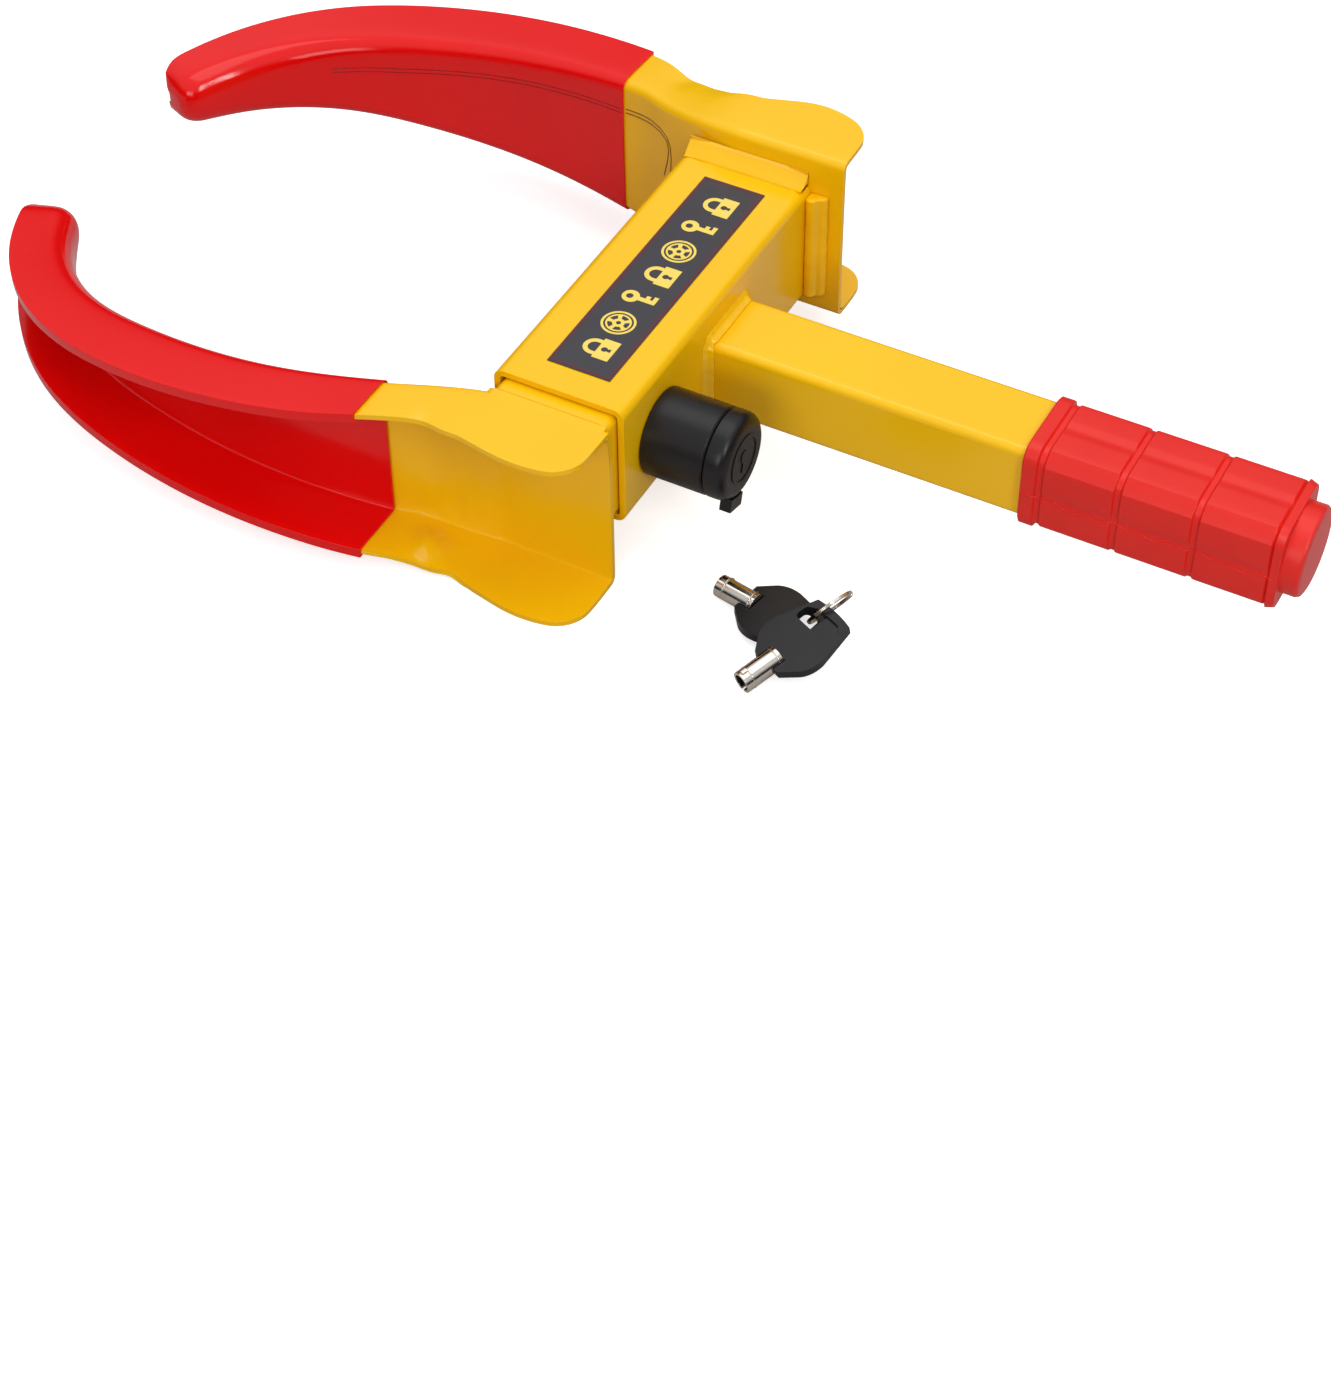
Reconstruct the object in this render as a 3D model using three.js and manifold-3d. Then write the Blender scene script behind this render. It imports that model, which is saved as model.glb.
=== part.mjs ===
// Tyre claw wheel clamp: two pressed steel claws close on a tyre, one of them on a sliding tube
// that a push-in lock holds in one of six holes. A square handle with a ribbed grip stands off
// the body, and two tubular keys on a split ring lie beside it.
//
// Millimetres, +Z up. The origin is the centre of the body tube's face that meets the tyre tread,
// +X runs along the handle, away from the tyre, and +Y from the sliding claw to the fixed claw.
import * as THREE from 'three';
import { mergeVertices } from 'three/addons/utils/BufferGeometryUtils.js';
import Module from 'manifold-3d';

const wasm = await Module();
wasm.setup();

// ---- Driving dimensions ----------------------------------------------------------------------
const GAP = 0.3; // between pieces that touch
const FINE = 0.05; // between flat faces that lie on each other

const BODY = { size: 50, wall: 2.4, radius: 4, length: 140 };
const SLIDE = { size: 44, wall: 2.4, radius: 3.2, inner: 64, holes: 6, pitch: 20, bore: 5.5 };
const LOCK = { y: -44.8, z: -1.8, radius: 16, boltRadius: 5, cover: 74, cap: 82.4 };
const HANDLE = { size: 30, wall: 2.5, radius: 3, y: 4.3, z: -4, end: 260.5 };
const GRIP = {
  start: 170, end: 262, half: 17, round: 6, rib: 0.8, collar: 5.8, capRadius: 16.2, capEnd: 268.9,
};
const LABEL = { width: 24.2, length: 114.5, thick: 0.4, x: 26.3, y: -1 };
const STEEL = 2; // sheet thickness of the pressed claws
const COAT = { inner: 0.3, outer: 1, nose: 9 }; // dip coating: skin offsets, solid nose length
const STOP = { y: -50, radius: 3, slot: 3.3 };
const FLOOR = -48.2; // lowest face of the sliding claw

// The same pressing makes both claws; the fixed one is turned over and sits higher.
const FRONT = {
  side: -1, web: -75.7, end: 48.6, corner: 10, bend: 3.2,
  top: 22, bottom: FLOOR, lobeTop: { base: 25.6, rise: 4.2, x: 28, half: 32 },
  lobeBottom: { base: 27, rise: 4.6, x: 28, half: 30 },
  tongue: 5, tongueShape: 1.25, arm: { x: -29.7, v: 12.2, top: 21.7, bottom: -39.3 },
  tip: { top: -4.1, bottom: -22 }, coatStart: 1.5, reach: 1.5,
};
const BACK = {
  side: 1, web: 70.1, end: 62.6, corner: 9, bend: 3.8,
  top: 37.5, bottom: -32, lobeTop: { base: 22.6, rise: 6.8, x: 41, half: 28 },
  lobeBottom: { base: 23, rise: 5, x: 44, half: 30 },
  tongue: 19, tongueShape: 1.7, arm: { x: -27.6, v: 15.8, top: 30.4, bottom: -30.6 },
  tip: { top: 4.6, bottom: -13.3 }, coatStart: 9, reach: -4,
};
// Claw arm in plan: it leaves the tongue turned out by `lean`, then follows two arcs inward.
const ARM = { lean: 12.8, first: { turn: 27, radius: 244 }, second: { turn: 55.5, radius: 86.4 } };
const ARM_WIDTH = { top: [20.4, 17.8, 5.2], bottom: [25, 17.8, 4.4] }; // root, tip, belly

// ---- Materials -------------------------------------------------------------------------------
const paint = () => new THREE.MeshStandardMaterial({ color: 0xf2b51c, roughness: 0.32, metalness: 0 });
const coat = () => new THREE.MeshStandardMaterial({ color: 0xd81a18, roughness: 0.28, metalness: 0 });
const rubber = () => new THREE.MeshStandardMaterial({ color: 0xe0281e, roughness: 0.5, metalness: 0 });
const plastic = () => new THREE.MeshStandardMaterial({ color: 0x242124, roughness: 0.35, metalness: 0 });
const zinc = () => new THREE.MeshStandardMaterial({ color: 0xa9abad, roughness: 0.35, metalness: 0.9 });
const nickel = () => new THREE.MeshStandardMaterial({ color: 0xd9d2c6, roughness: 0.15, metalness: 1 });

// ---- Solids ----------------------------------------------------------------------------------
function toSolid(geometry) {
  const bare = geometry.index ? geometry.toNonIndexed() : geometry.clone();
  for (const name of Object.keys(bare.attributes)) {
    if (name !== 'position') bare.deleteAttribute(name);
  }
  const merged = mergeVertices(bare, 1e-4);
  return new wasm.Manifold(new wasm.Mesh({
    numProp: 3,
    vertProperties: new Float32Array(merged.attributes.position.array),
    triVerts: new Uint32Array(merged.index.array),
  }));
}

function toGeometry(solid) {
  const mesh = solid.getMesh();
  const geometry = new THREE.BufferGeometry();
  geometry.setAttribute('position', new THREE.BufferAttribute(new Float32Array(mesh.vertProperties), 3));
  geometry.setIndex(new THREE.BufferAttribute(new Uint32Array(mesh.triVerts), 1));
  geometry.computeVertexNormals();
  return geometry;
}

const cut = (solid, ...tools) => tools.reduce((left, tool) => left.subtract(tool), solid);
const join = (solid, ...more) => more.reduce((left, piece) => left.add(piece), solid);

function piece(name, shape, material) {
  const geometry = shape.isBufferGeometry ? shape : toGeometry(shape);
  const mesh = new THREE.Mesh(geometry, material);
  mesh.name = name;
  return mesh;
}

function roundedSquare(width, height, radius) {
  const [x, y, r] = [width / 2, height / 2, radius];
  const shape = new THREE.Shape();
  shape.moveTo(x, -y + r);
  shape.lineTo(x, y - r).absarc(x - r, y - r, r, 0, Math.PI / 2);
  shape.lineTo(-x + r, y).absarc(-x + r, y - r, r, Math.PI / 2, Math.PI);
  shape.lineTo(-x, -y + r).absarc(-x + r, -y + r, r, Math.PI, Math.PI * 1.5);
  shape.lineTo(x - r, -y).absarc(x - r, -y + r, r, Math.PI * 1.5, Math.PI * 2);
  return shape;
}

// Extrusions that run along +X from x0, or along +Y from y0, centred on the two other axes.
function alongX(shape, x0, length, y = 0, z = 0, segments = 5) {
  const geometry = new THREE.ExtrudeGeometry(shape, {
    depth: length, bevelEnabled: false, curveSegments: segments,
  });
  return toSolid(geometry.rotateZ(Math.PI / 2).rotateY(Math.PI / 2).translate(x0, y, z));
}

function alongY(shape, y0, length, x = 0, z = 0, segments = 5) {
  const geometry = new THREE.ExtrudeGeometry(shape, {
    depth: length, bevelEnabled: false, curveSegments: segments,
  });
  return toSolid(geometry.rotateX(-Math.PI / 2).translate(x, y0, z));
}

// A turned piece on an axis along +X: the profile is [x, radius] and starts and ends on the axis.
function turnedX(profile, y, z, sides = 32) {
  const points = profile.map(([x, r]) => new THREE.Vector2(r, x));
  return toSolid(new THREE.LatheGeometry(points, sides).rotateZ(-Math.PI / 2).translate(0, y, z));
}

const rodX = (x0, x1, radius, y, z, sides) => (
  turnedX([[x0, 0], [x0, radius], [x1, radius], [x1, 0]], y, z, sides));

function ringX(x0, x1, outer, inner, y, z, sides) {
  return cut(rodX(x0, x1, outer, y, z, sides), rodX(x0 - 1, x1 + 1, inner, y, z, sides));
}

function block(x0, x1, y0, y1, z0, z1) {
  const box = new THREE.BoxGeometry(x1 - x0, y1 - y0, z1 - z0);
  return toSolid(box.translate((x0 + x1) / 2, (y0 + y1) / 2, (z0 + z1) / 2));
}

// A skin over rings of equal point counts, with a flat cap on the first and last rings. With
// `lining`, a second set of rings makes an inner skin, joined to the outer one at the first ring.
function skin(rings, capPoints, lining = null) {
  const vertices = [];
  const faces = [];
  const addRings = (list, inward) => {
    const base = vertices.length;
    list.forEach((ring) => vertices.push(...ring));
    const n = list[0].length;
    for (let i = 0; i + 1 < list.length; i += 1) {
      for (let j = 0; j < n; j += 1) {
        const [a, b] = [base + i * n + j, base + i * n + ((j + 1) % n)];
        const quad = [a, b, b + n, a, b + n, a + n];
        faces.push(...(inward ? quad.reverse() : quad));
      }
    }
    return base;
  };
  const cap = (base, ringIndex, n, flip) => {
    THREE.ShapeUtils.triangulateShape(capPoints, []).forEach((tri) => {
      const face = tri.map((k) => base + ringIndex * n + k);
      faces.push(...(flip ? face.reverse() : face));
    });
  };
  const n = rings[0].length;
  const outer = addRings(rings, false);
  cap(outer, rings.length - 1, n, false);
  if (lining) {
    const inner = addRings(lining, true);
    cap(inner, lining.length - 1, n, true);
    for (let j = 0; j < n; j += 1) {
      const k = (j + 1) % n;
      faces.push(outer + k, outer + j, inner + j, outer + k, inner + j, inner + k);
    }
  } else {
    cap(outer, 0, n, true);
  }
  const geometry = new THREE.BufferGeometry();
  const flat = new Float32Array(vertices.flatMap((v) => [v.x, v.y, v.z]));
  geometry.setAttribute('position', new THREE.BufferAttribute(flat, 3));
  geometry.setIndex(faces);
  if (signedVolume(flat, faces) < 0) {
    for (let i = 0; i < faces.length; i += 3) [faces[i], faces[i + 1]] = [faces[i + 1], faces[i]];
    geometry.setIndex(faces);
  }
  return geometry;
}

function signedVolume(points, faces) {
  const [a, b, c] = [new THREE.Vector3(), new THREE.Vector3(), new THREE.Vector3()];
  let volume = 0;
  for (let i = 0; i < faces.length; i += 3) {
    a.fromArray(points, 3 * faces[i]);
    b.fromArray(points, 3 * faces[i + 1]);
    c.fromArray(points, 3 * faces[i + 2]);
    volume += a.dot(b.cross(c)) / 6;
  }
  return volume;
}

// ---- Pressed claws ---------------------------------------------------------------------------
const mix = (a, b, t) => a + (b - a) * t;
const smooth = (t) => {
  const k = Math.min(1, Math.max(0, t));
  return k * k * (3 - 2 * k);
};
const radians = THREE.MathUtils.degToRad;

const lobeWidth = (lobe, x) => {
  const off = Math.min(1, Math.abs(x - lobe.x) / lobe.half);
  return lobe.base + lobe.rise * Math.cos(off * Math.PI / 2) ** 2;
};

const bellied = ([root, tip, belly], t) => mix(root, tip, t) + belly * Math.sin(Math.PI * t);

// Stations along a claw: its place in plan (x, v outward from the web plane), the turn of its
// section, the levels of its two flanges and their widths.
function rootStations(jaw) {
  const list = [];
  const add = (x, trim) => list.push({
    x, v: 0, turn: 0, top: jaw.top, bottom: jaw.bottom,
    wTop: lobeWidth(jaw.lobeTop, x) - trim, wBottom: lobeWidth(jaw.lobeBottom, x) - trim,
  });
  for (let i = 0; i <= 4; i += 1) {
    const angle = i * Math.PI / 8;
    add(jaw.end - jaw.corner * (1 - Math.cos(angle)), jaw.corner * (1 - Math.sin(angle)));
  }
  const flat = jaw.end - jaw.corner;
  for (let i = 1; i <= 5; i += 1) add(mix(flat, jaw.tongue, i / 5), 0);
  return list;
}

function tongueStations(jaw) {
  const list = [];
  const steps = 6;
  const { arm } = jaw;
  for (let i = 1; i <= steps; i += 1) {
    const t = i / steps;
    list.push({
      x: mix(jaw.tongue, arm.x, t), v: arm.v * t ** jaw.tongueShape, turn: 0,
      top: mix(jaw.top, arm.top, smooth(t)), bottom: mix(jaw.bottom, arm.bottom, smooth(t)),
      wTop: mix(lobeWidth(jaw.lobeTop, jaw.tongue), ARM_WIDTH.top[0], smooth(t / 0.6)),
      wBottom: mix(lobeWidth(jaw.lobeBottom, jaw.tongue), ARM_WIDTH.bottom[0], smooth(t / 0.6)),
    });
  }
  return list;
}

const arcLength = ({ turn, radius }) => radians(turn) * radius;
const ARM_LENGTH = arcLength(ARM.first) + arcLength(ARM.second);

function armPlan(jaw, s) {
  const first = arcLength(ARM.first);
  const start = radians(-ARM.lean);
  const walk = (x, v, heading, radius, length) => {
    const end = heading + length / radius;
    return {
      x: x - radius * (Math.sin(end) - Math.sin(heading)),
      v: v + radius * (Math.cos(end) - Math.cos(heading)),
      heading: end,
    };
  };
  const one = walk(jaw.arm.x, jaw.arm.v, start, ARM.first.radius, Math.min(s, first));
  return s <= first ? one : walk(one.x, one.v, one.heading, ARM.second.radius, s - first);
}

function armStation(jaw, s) {
  const t = s / ARM_LENGTH;
  const plan = armPlan(jaw, s);
  return {
    x: plan.x, v: plan.v, turn: plan.heading * smooth(s / 30),
    top: mix(jaw.arm.top, jaw.tip.top, t), bottom: mix(jaw.arm.bottom, jaw.tip.bottom, t),
    wTop: bellied(ARM_WIDTH.top, t), wBottom: bellied(ARM_WIDTH.bottom, t),
  };
}

// The C section of the pressing, open on its outward side: n is outward, z is up. `grow` thickens
// it all round, `fill` closes the channel, and `shrink` draws it in to its middle.
function channelSection(station, bend, grow, fill = 0, shrink = 1) {
  const { top, bottom, wTop, wBottom } = station;
  const outer = bend + grow;
  const inner = Math.max(0.6, (bend - STEEL) * (1 - fill));
  const points = [];
  const arc = (n, z, radius, from, to, steps) => {
    for (let i = 0; i <= steps; i += 1) {
      const angle = radians(mix(from, to, i / steps));
      points.push([n + radius * Math.cos(angle), z + radius * Math.sin(angle)]);
    }
  };
  const floor = mix(STEEL + grow, Math.min(wTop, wBottom) - 1, fill);
  points.push([wTop + grow, top + grow]);
  arc(bend, top - bend, outer, 90, 180, 4);
  arc(bend, bottom + bend, outer, 180, 270, 4);
  points.push([wBottom + grow, bottom - grow], [wBottom + grow, bottom + STEEL + grow]);
  arc(floor + inner, bottom + STEEL + grow + inner, inner, 270, 180, 2);
  arc(floor + inner, top - STEEL - grow - inner, inner, 180, 90, 2);
  points.push([wTop + grow, top - STEEL - grow]);
  const middle = [(wTop + wBottom) / 4, (top + bottom) / 2];
  return points.map(([n, z]) => [mix(middle[0], n, shrink), mix(middle[1], z, shrink)]);
}

function placeSection(jaw, station, section) {
  const [along, out] = [Math.sin(station.turn), Math.cos(station.turn)];
  return section.map(([n, z]) => new THREE.Vector3(
    station.x - along * n,
    jaw.web + jaw.side * (station.v + out * n),
    z,
  ));
}

// Bend radius: tight at the root, and wide enough at the tip to make the arm nearly round there.
const bendAt = (jaw, s) => {
  const early = mix(jaw.bend, 5, smooth(s / 60));
  return mix(early, 8, smooth((s - 0.45 * ARM_LENGTH) / (0.5 * ARM_LENGTH)));
};

function clawPressing(jaw) {
  const stations = [...rootStations(jaw), ...tongueStations(jaw)].map((st) => [st, jaw.bend]);
  const steps = 16;
  const length = ARM_LENGTH + jaw.reach - COAT.nose;
  for (let i = 1; i <= steps; i += 1) {
    const s = length * i / steps;
    stations.push([armStation(jaw, s), bendAt(jaw, s)]);
  }
  const sections = stations.map(([st, bend]) => channelSection(st, bend, 0));
  const rings = stations.map(([st], i) => placeSection(jaw, st, sections[i]));
  return skin(rings, sections[0].map(([n, z]) => new THREE.Vector2(n, z)));
}

// The dipped coating: a skin that follows the arm and closes round its tip in a blunt nose.
function clawCoating(jaw) {
  const ringAt = (s, grow, fill, shrink) => {
    const station = armStation(jaw, s);
    return placeSection(jaw, station, channelSection(station, bendAt(jaw, s), grow, fill, shrink));
  };
  const steps = 15;
  const steelEnd = ARM_LENGTH + jaw.reach - COAT.nose;
  const along = Array.from({ length: steps + 1 }, (_, i) => mix(jaw.coatStart, steelEnd, i / steps));
  const outer = along.map((s) => ringAt(s, COAT.outer, 0, 1));
  for (let i = 1; i <= 5; i += 1) {
    const t = i / 5;
    const s = steelEnd + COAT.nose * Math.sin(t * Math.PI / 2);
    const shrink = Math.max(0.35, Math.cos(t * Math.PI / 2) ** 0.5);
    outer.push(ringAt(s, COAT.outer, Math.min(1, 0.35 + t), shrink));
  }
  const lining = along.map((s) => ringAt(s, COAT.inner, 0, 1));
  lining.push(ringAt(steelEnd + GAP, COAT.inner, 0, 1));
  const flat = channelSection(armStation(jaw, steelEnd), bendAt(jaw, steelEnd), 0);
  return skin(outer, flat.map(([n, z]) => new THREE.Vector2(n, z)), lining);
}

// ---- Body and slide --------------------------------------------------------------------------
function squareTube(size, wall, radius) {
  const shape = roundedSquare(size, size, radius);
  shape.holes.push(roundedSquare(size - 2 * wall, size - 2 * wall, Math.max(1, radius - wall)));
  return shape;
}

function bodyTube() {
  const { size, wall, radius, length } = BODY;
  const tube = alongY(squareTube(size, wall, radius), -length / 2, length, size / 2, 0);
  const boltHole = rodX(size - wall - 1, size + 1, LOCK.boltRadius + 0.8, LOCK.y, LOCK.z, 24);
  return cut(tube, boltHole, stopHole(STOP.radius + 0.15, -size / 2 - 1, -size / 2 + wall + 1));
}

function stopHole(radius, z0, z1) {
  const rod = new THREE.CylinderGeometry(radius, radius, z1 - z0, 20);
  return toSolid(rod.rotateX(Math.PI / 2).translate(BODY.size / 2, STOP.y, (z0 + z1) / 2));
}

function stopPin() {
  const under = -BODY.size / 2;
  return join(
    stopHole(STOP.radius, under - 0.8, under + 4.6),
    stopHole(STOP.radius + 2.2, under - 1.4, under - FINE),
  );
}

function slideTube() {
  const { size, wall, radius, inner, holes, pitch, bore } = SLIDE;
  const start = FRONT.web + GAP;
  const centre = BODY.size / 2;
  const travel = (holes - 1) * pitch;
  const tools = [];
  for (let i = 0; i < holes; i += 1) {
    tools.push(rodX(centre, centre + size, bore, LOCK.y + i * pitch, LOCK.z, 20));
  }
  const slot = roundedSquare(2 * STOP.slot, travel + 2 * STOP.slot, STOP.slot - 0.01);
  const slotBar = new THREE.ExtrudeGeometry(slot, { depth: 8, bevelEnabled: false, curveSegments: 6 });
  const slotCut = toSolid(slotBar.translate(centre, STOP.y + travel / 2, -size / 2 - 4));
  return cut(alongY(squareTube(size, wall, radius), start, inner - start, centre, 0), slotCut, ...tools);
}

function slideEndPlug() {
  const { size, wall, inner } = SLIDE;
  const bore = size - 2 * wall - 2 * GAP;
  const flange = alongY(roundedSquare(size, size, 3), inner + FINE, 1.6, BODY.size / 2);
  const spigot = alongY(roundedSquare(bore, bore, 2), inner - 3, 3 + 2 * FINE + 0.2, BODY.size / 2);
  return join(flange, spigot);
}

// ---- Welds: fillet beads that keep a hair off the faces they join -----------------------------
function filletShape(legA, legB) {
  const shape = new THREE.Shape();
  shape.moveTo(0, 0).lineTo(legA, 0);
  shape.quadraticCurveTo(legA * 0.42, legB * 0.42, 0, legB);
  shape.lineTo(0, 0);
  return shape;
}

function backWeldTop() {
  const bead = new THREE.ExtrudeGeometry(filletShape(5, 4.6), {
    depth: BODY.size - 6, bevelEnabled: false, curveSegments: 5,
  });
  // legs: along -Y on the body's top and along +Z on the web
  bead.rotateX(Math.PI / 2).rotateZ(-Math.PI / 2).rotateX(Math.PI / 2);
  const box = new THREE.Box3().setFromBufferAttribute(bead.attributes.position);
  return toSolid(bead.translate(3 - box.min.x, BACK.web - FINE - box.max.y,
    BODY.size / 2 + FINE - box.min.z));
}

function backWeldSide() {
  const shape = new THREE.Shape();
  shape.moveTo(0, 0).lineTo(7.4, 0);
  shape.absarc(5.2, -0.8, 2.3, radians(20), radians(-120), true);
  shape.absarc(2.1, -3.2, 2.3, radians(-10), radians(-150), true);
  shape.lineTo(0, -4.5).lineTo(0, 0);
  const height = BODY.size - 6;
  const bead = new THREE.ExtrudeGeometry(shape, { depth: height, bevelEnabled: false, curveSegments: 5 });
  return toSolid(bead.translate(BODY.size + FINE, BACK.web - FINE, -height / 2));
}

function frontWeld() {
  const leg = 2.6;
  const half = SLIDE.size / 2 + FINE;
  const [y0, y1] = [FRONT.web + FINE, FRONT.web + FINE + leg];
  const x0 = BODY.size / 2 - half;
  const corner = 3;
  const under = block(x0 + corner, x0 + 2 * half - corner, y0, y1, -half - leg, -half);
  const side = block(x0 - leg, x0, y0, y1, -half + corner, half - corner);
  const turn = block(x0 - leg, x0 + corner + 1, y0, y1, -half - leg, -half + corner + 1);
  const clear = alongY(roundedSquare(2 * half, 2 * half, SLIDE.radius), y0 - 1, leg + 2, BODY.size / 2);
  return cut(join(under, side, turn), clear);
}

function handleWeld() {
  const { size, y, z, radius } = HANDLE;
  const x0 = BODY.size + FINE;
  const middle = new THREE.Vector3(0, y, z);
  const ring = (x, half, round) => gripRing(x, half, round, 0, 32).map((p) => p.add(middle));
  const half = size / 2;
  const rings = [ring(x0, half + 3.4, radius + 3), ring(x0 + 1.1, half + 1.7, radius + 1.5),
    ring(x0 + 3.2, half + 0.5, radius + 0.5)];
  const bead = toSolid(skin(rings, rings[0].map((p) => new THREE.Vector2(p.y, p.z))));
  return cut(bead, alongX(roundedSquare(size + 0.2, size + 0.2, radius), x0 - 1, 6, y, z));
}

// ---- Handle ----------------------------------------------------------------------------------
function handleTube() {
  const { size, wall, radius, y, z, end } = HANDLE;
  const start = BODY.size + FINE;
  return alongX(squareTube(size, wall, radius), start, end - start, y, z);
}

// Outline of the grip at x: a rounded square, swollen by `rib` except in its eight grooves.
function gripRing(x, half, round, rib, count) {
  const points = [];
  for (let i = 0; i < count; i += 1) {
    const angle = (i + 0.5) / count * Math.PI * 2;
    const [c, s] = [Math.cos(angle), Math.sin(angle)];
    const flat = half - round;
    const big = Math.max(Math.abs(c), Math.abs(s));
    let reach = half / big;
    const small = Math.min(Math.abs(c), Math.abs(s)) / big;
    if (small * half > flat) {
      const k = flat * (Math.abs(c) + Math.abs(s));
      reach = k + Math.sqrt(k * k - 2 * flat * flat + round * round);
    }
    const groove = Math.cos(4 * angle) ** 12;
    reach += rib * (1 - groove);
    points.push(new THREE.Vector3(x, reach * c, reach * s));
  }
  return points;
}

function handleGrip() {
  const { start, end, half, round, rib, collar, capRadius, capEnd } = GRIP;
  const count = 64;
  const ring = (x, reach, swell) => gripRing(x, reach, round, swell, count);
  const low = half - 0.3;
  const high = half + 0.7;
  const rings = [ring(start, half, 0), ring(start + 0.6, high, 0), ring(start + collar - 0.6, high, 0)];
  const band = (end - start - 1.6 * collar) / 3;
  for (let i = 0; i < 3; i += 1) {
    const x = start + collar + i * band;
    rings.push(ring(x, low, 0), ring(x + 1.8, low, 0), ring(x + 2.4, half, rib));
    rings.push(ring(x + band - 0.6, half, rib));
  }
  rings.push(ring(end - 0.6 * collar, low, 0), ring(end - 0.6 * collar + 0.6, high, 0), ring(end, half, 0));
  const body = toSolid(skin(rings, rings[0].map((p) => new THREE.Vector2(p.y, p.z))));
  const cap = turnedX([[end - 2, 0], [end - 2, capRadius], [capEnd - 1.6, capRadius],
    [capEnd - 0.5, capRadius - 0.6], [capEnd, capRadius - 2], [capEnd, 0]], 0, 0, 40);
  const tube = HANDLE.size + 2 * GAP;
  const bore = alongX(roundedSquare(tube, tube, HANDLE.radius), start - 1, HANDLE.end + GAP - start + 1);
  return cut(join(body, cap), bore).translate([0, HANDLE.y, HANDLE.z]);
}

function bodyLabel() {
  const { width, length, thick, x, y } = LABEL;
  const z = BODY.size / 2 + FINE;
  return block(x - width / 2, x + width / 2, y - length / 2, y + length / 2, z, z + thick);
}

// ---- Lock: sleeve, cover, push-in cylinder with a turning core, bolt, spring and dust cap ------
const lockRing = (x0, x1, outer, inner, sides) => ringX(x0, x1, outer, inner, LOCK.y, LOCK.z, sides);
const lockRod = (x0, x1, radius, sides) => rodX(x0, x1, radius, LOCK.y, LOCK.z, sides);
const FACE = BODY.size + FINE; // plane of the body's side, where the lock stands
const SLEEVE = { outer: 13, inner: 10.3, end: 72.5 };
const PLUNGER = { back: 61.4, front: 71, radius: 10, bore: 6 };

function lockCover() {
  const end = LOCK.cover;
  const radius = LOCK.radius;
  const profile = [[FACE, 0], [FACE, radius - 0.8], [FACE + 0.8, radius],
    [end - 0.7, radius], [end, radius - 0.6], [end, 0]];
  const outside = turnedX(profile, LOCK.y, LOCK.z, 48);
  return cut(outside, lockRod(FACE - 1, end + 1, SLEEVE.outer + GAP, 40));
}

function dustCap() {
  const [inner, face] = [LOCK.cover + GAP, LOCK.cap];
  const { radius } = LOCK;
  const round = 4;
  const profile = [[inner, 0], [inner, radius - 0.5], [inner + 0.5, radius]];
  for (let i = 0; i <= 4; i += 1) {
    const angle = i * Math.PI / 8;
    profile.push([face - round + round * Math.sin(angle), radius - round + round * Math.cos(angle)]);
  }
  profile.push([face, 0]);
  const skirt = lockRing(inner - 2.4, inner + 0.5, 8.2, 6.8, 32);
  const tab = new THREE.BoxGeometry(4.4, 8.5, 5).translate(face - 2.6, 0, -radius - 1.2);
  const clear = lockRod(inner - 1, face + 1, 15, 48);
  const tabSolid = cut(toSolid(tab.rotateX(radians(-15)).translate(0, LOCK.y, LOCK.z)), clear);
  return join(turnedX(profile, LOCK.y, LOCK.z, 48), skirt, tabSolid);
}

function lockPlunger() {
  const { back, front, radius, bore } = PLUNGER;
  return cut(lockRod(back, front, radius, 40), lockRod(back + 1, front + 1, bore, 32));
}

function lockCore() {
  const { back, front, bore } = PLUNGER;
  const start = back + 1 + GAP;
  const slot = lockRing(start + 2.4, front + 1, 4.4, 2.8, 28);
  const notch = block(start + 2.4, front + 1, LOCK.y - 0.7, LOCK.y + 0.7, LOCK.z + 3.6, LOCK.z + 5.2);
  return cut(lockRod(start, front - 0.2, bore - GAP, 32), slot, notch);
}

function boltSpring() {
  const turns = 3.5;
  const [x0, x1, radius, wire] = [FACE + 1.1, PLUNGER.back - 1.1, 8, 0.6];
  class Helix extends THREE.Curve {
    getPoint(t, target = new THREE.Vector3()) {
      const angle = t * turns * Math.PI * 2;
      return target.set(mix(x0, x1, t), radius * Math.cos(angle), radius * Math.sin(angle));
    }
  }
  const section = new THREE.Shape().absarc(0, 0, wire, 0, Math.PI * 2);
  const coil = new THREE.ExtrudeGeometry(section, {
    extrudePath: new Helix(), steps: 56, curveSegments: 4, bevelEnabled: false,
  });
  return toSolid(coil.translate(0, LOCK.y, LOCK.z));
}

// ---- Keys ------------------------------------------------------------------------------------
// A key's own frame: slot of the bow at the origin, barrel out along +X, `pitch` lowers its end.
const KEY = { barrel: 4.1, bore: 3.05, start: 17, end: 33, near: -7.4, far: 22, half: 12.8, thick: 3.2 };
const KEY_A = { heading: 169, pitch: 0, level: FLOOR + 4.3, slide: 4.7, draw: -1.7 };
const KEY_B = { heading: -115, pitch: 10.7, level: FLOOR + 10.4, slide: 5, draw: -2 };
// The split ring stands on edge and leans: it runs through both slots and touches the floor.
const RING = { radius: 8.9, wire: 0.95, heading: 68, lean: 30, x: 120.6, y: -69.1 };
RING.level = FLOOR + RING.radius * Math.cos(radians(RING.lean)) + RING.wire + 0.1;

// Where the ring's wire crosses a level, on the side that the keys hang on.
function ringCrossing(level) {
  const [along, lean] = [radians(RING.heading), radians(RING.lean)];
  const up = (level - RING.level) / Math.cos(lean);
  const inset = RING.radius - Math.sqrt(RING.radius ** 2 - up ** 2);
  return [
    RING.x + inset * Math.cos(along) + up * Math.sin(lean) * Math.sin(along),
    RING.y + inset * Math.sin(along) - up * Math.sin(lean) * Math.cos(along),
  ];
}

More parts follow.
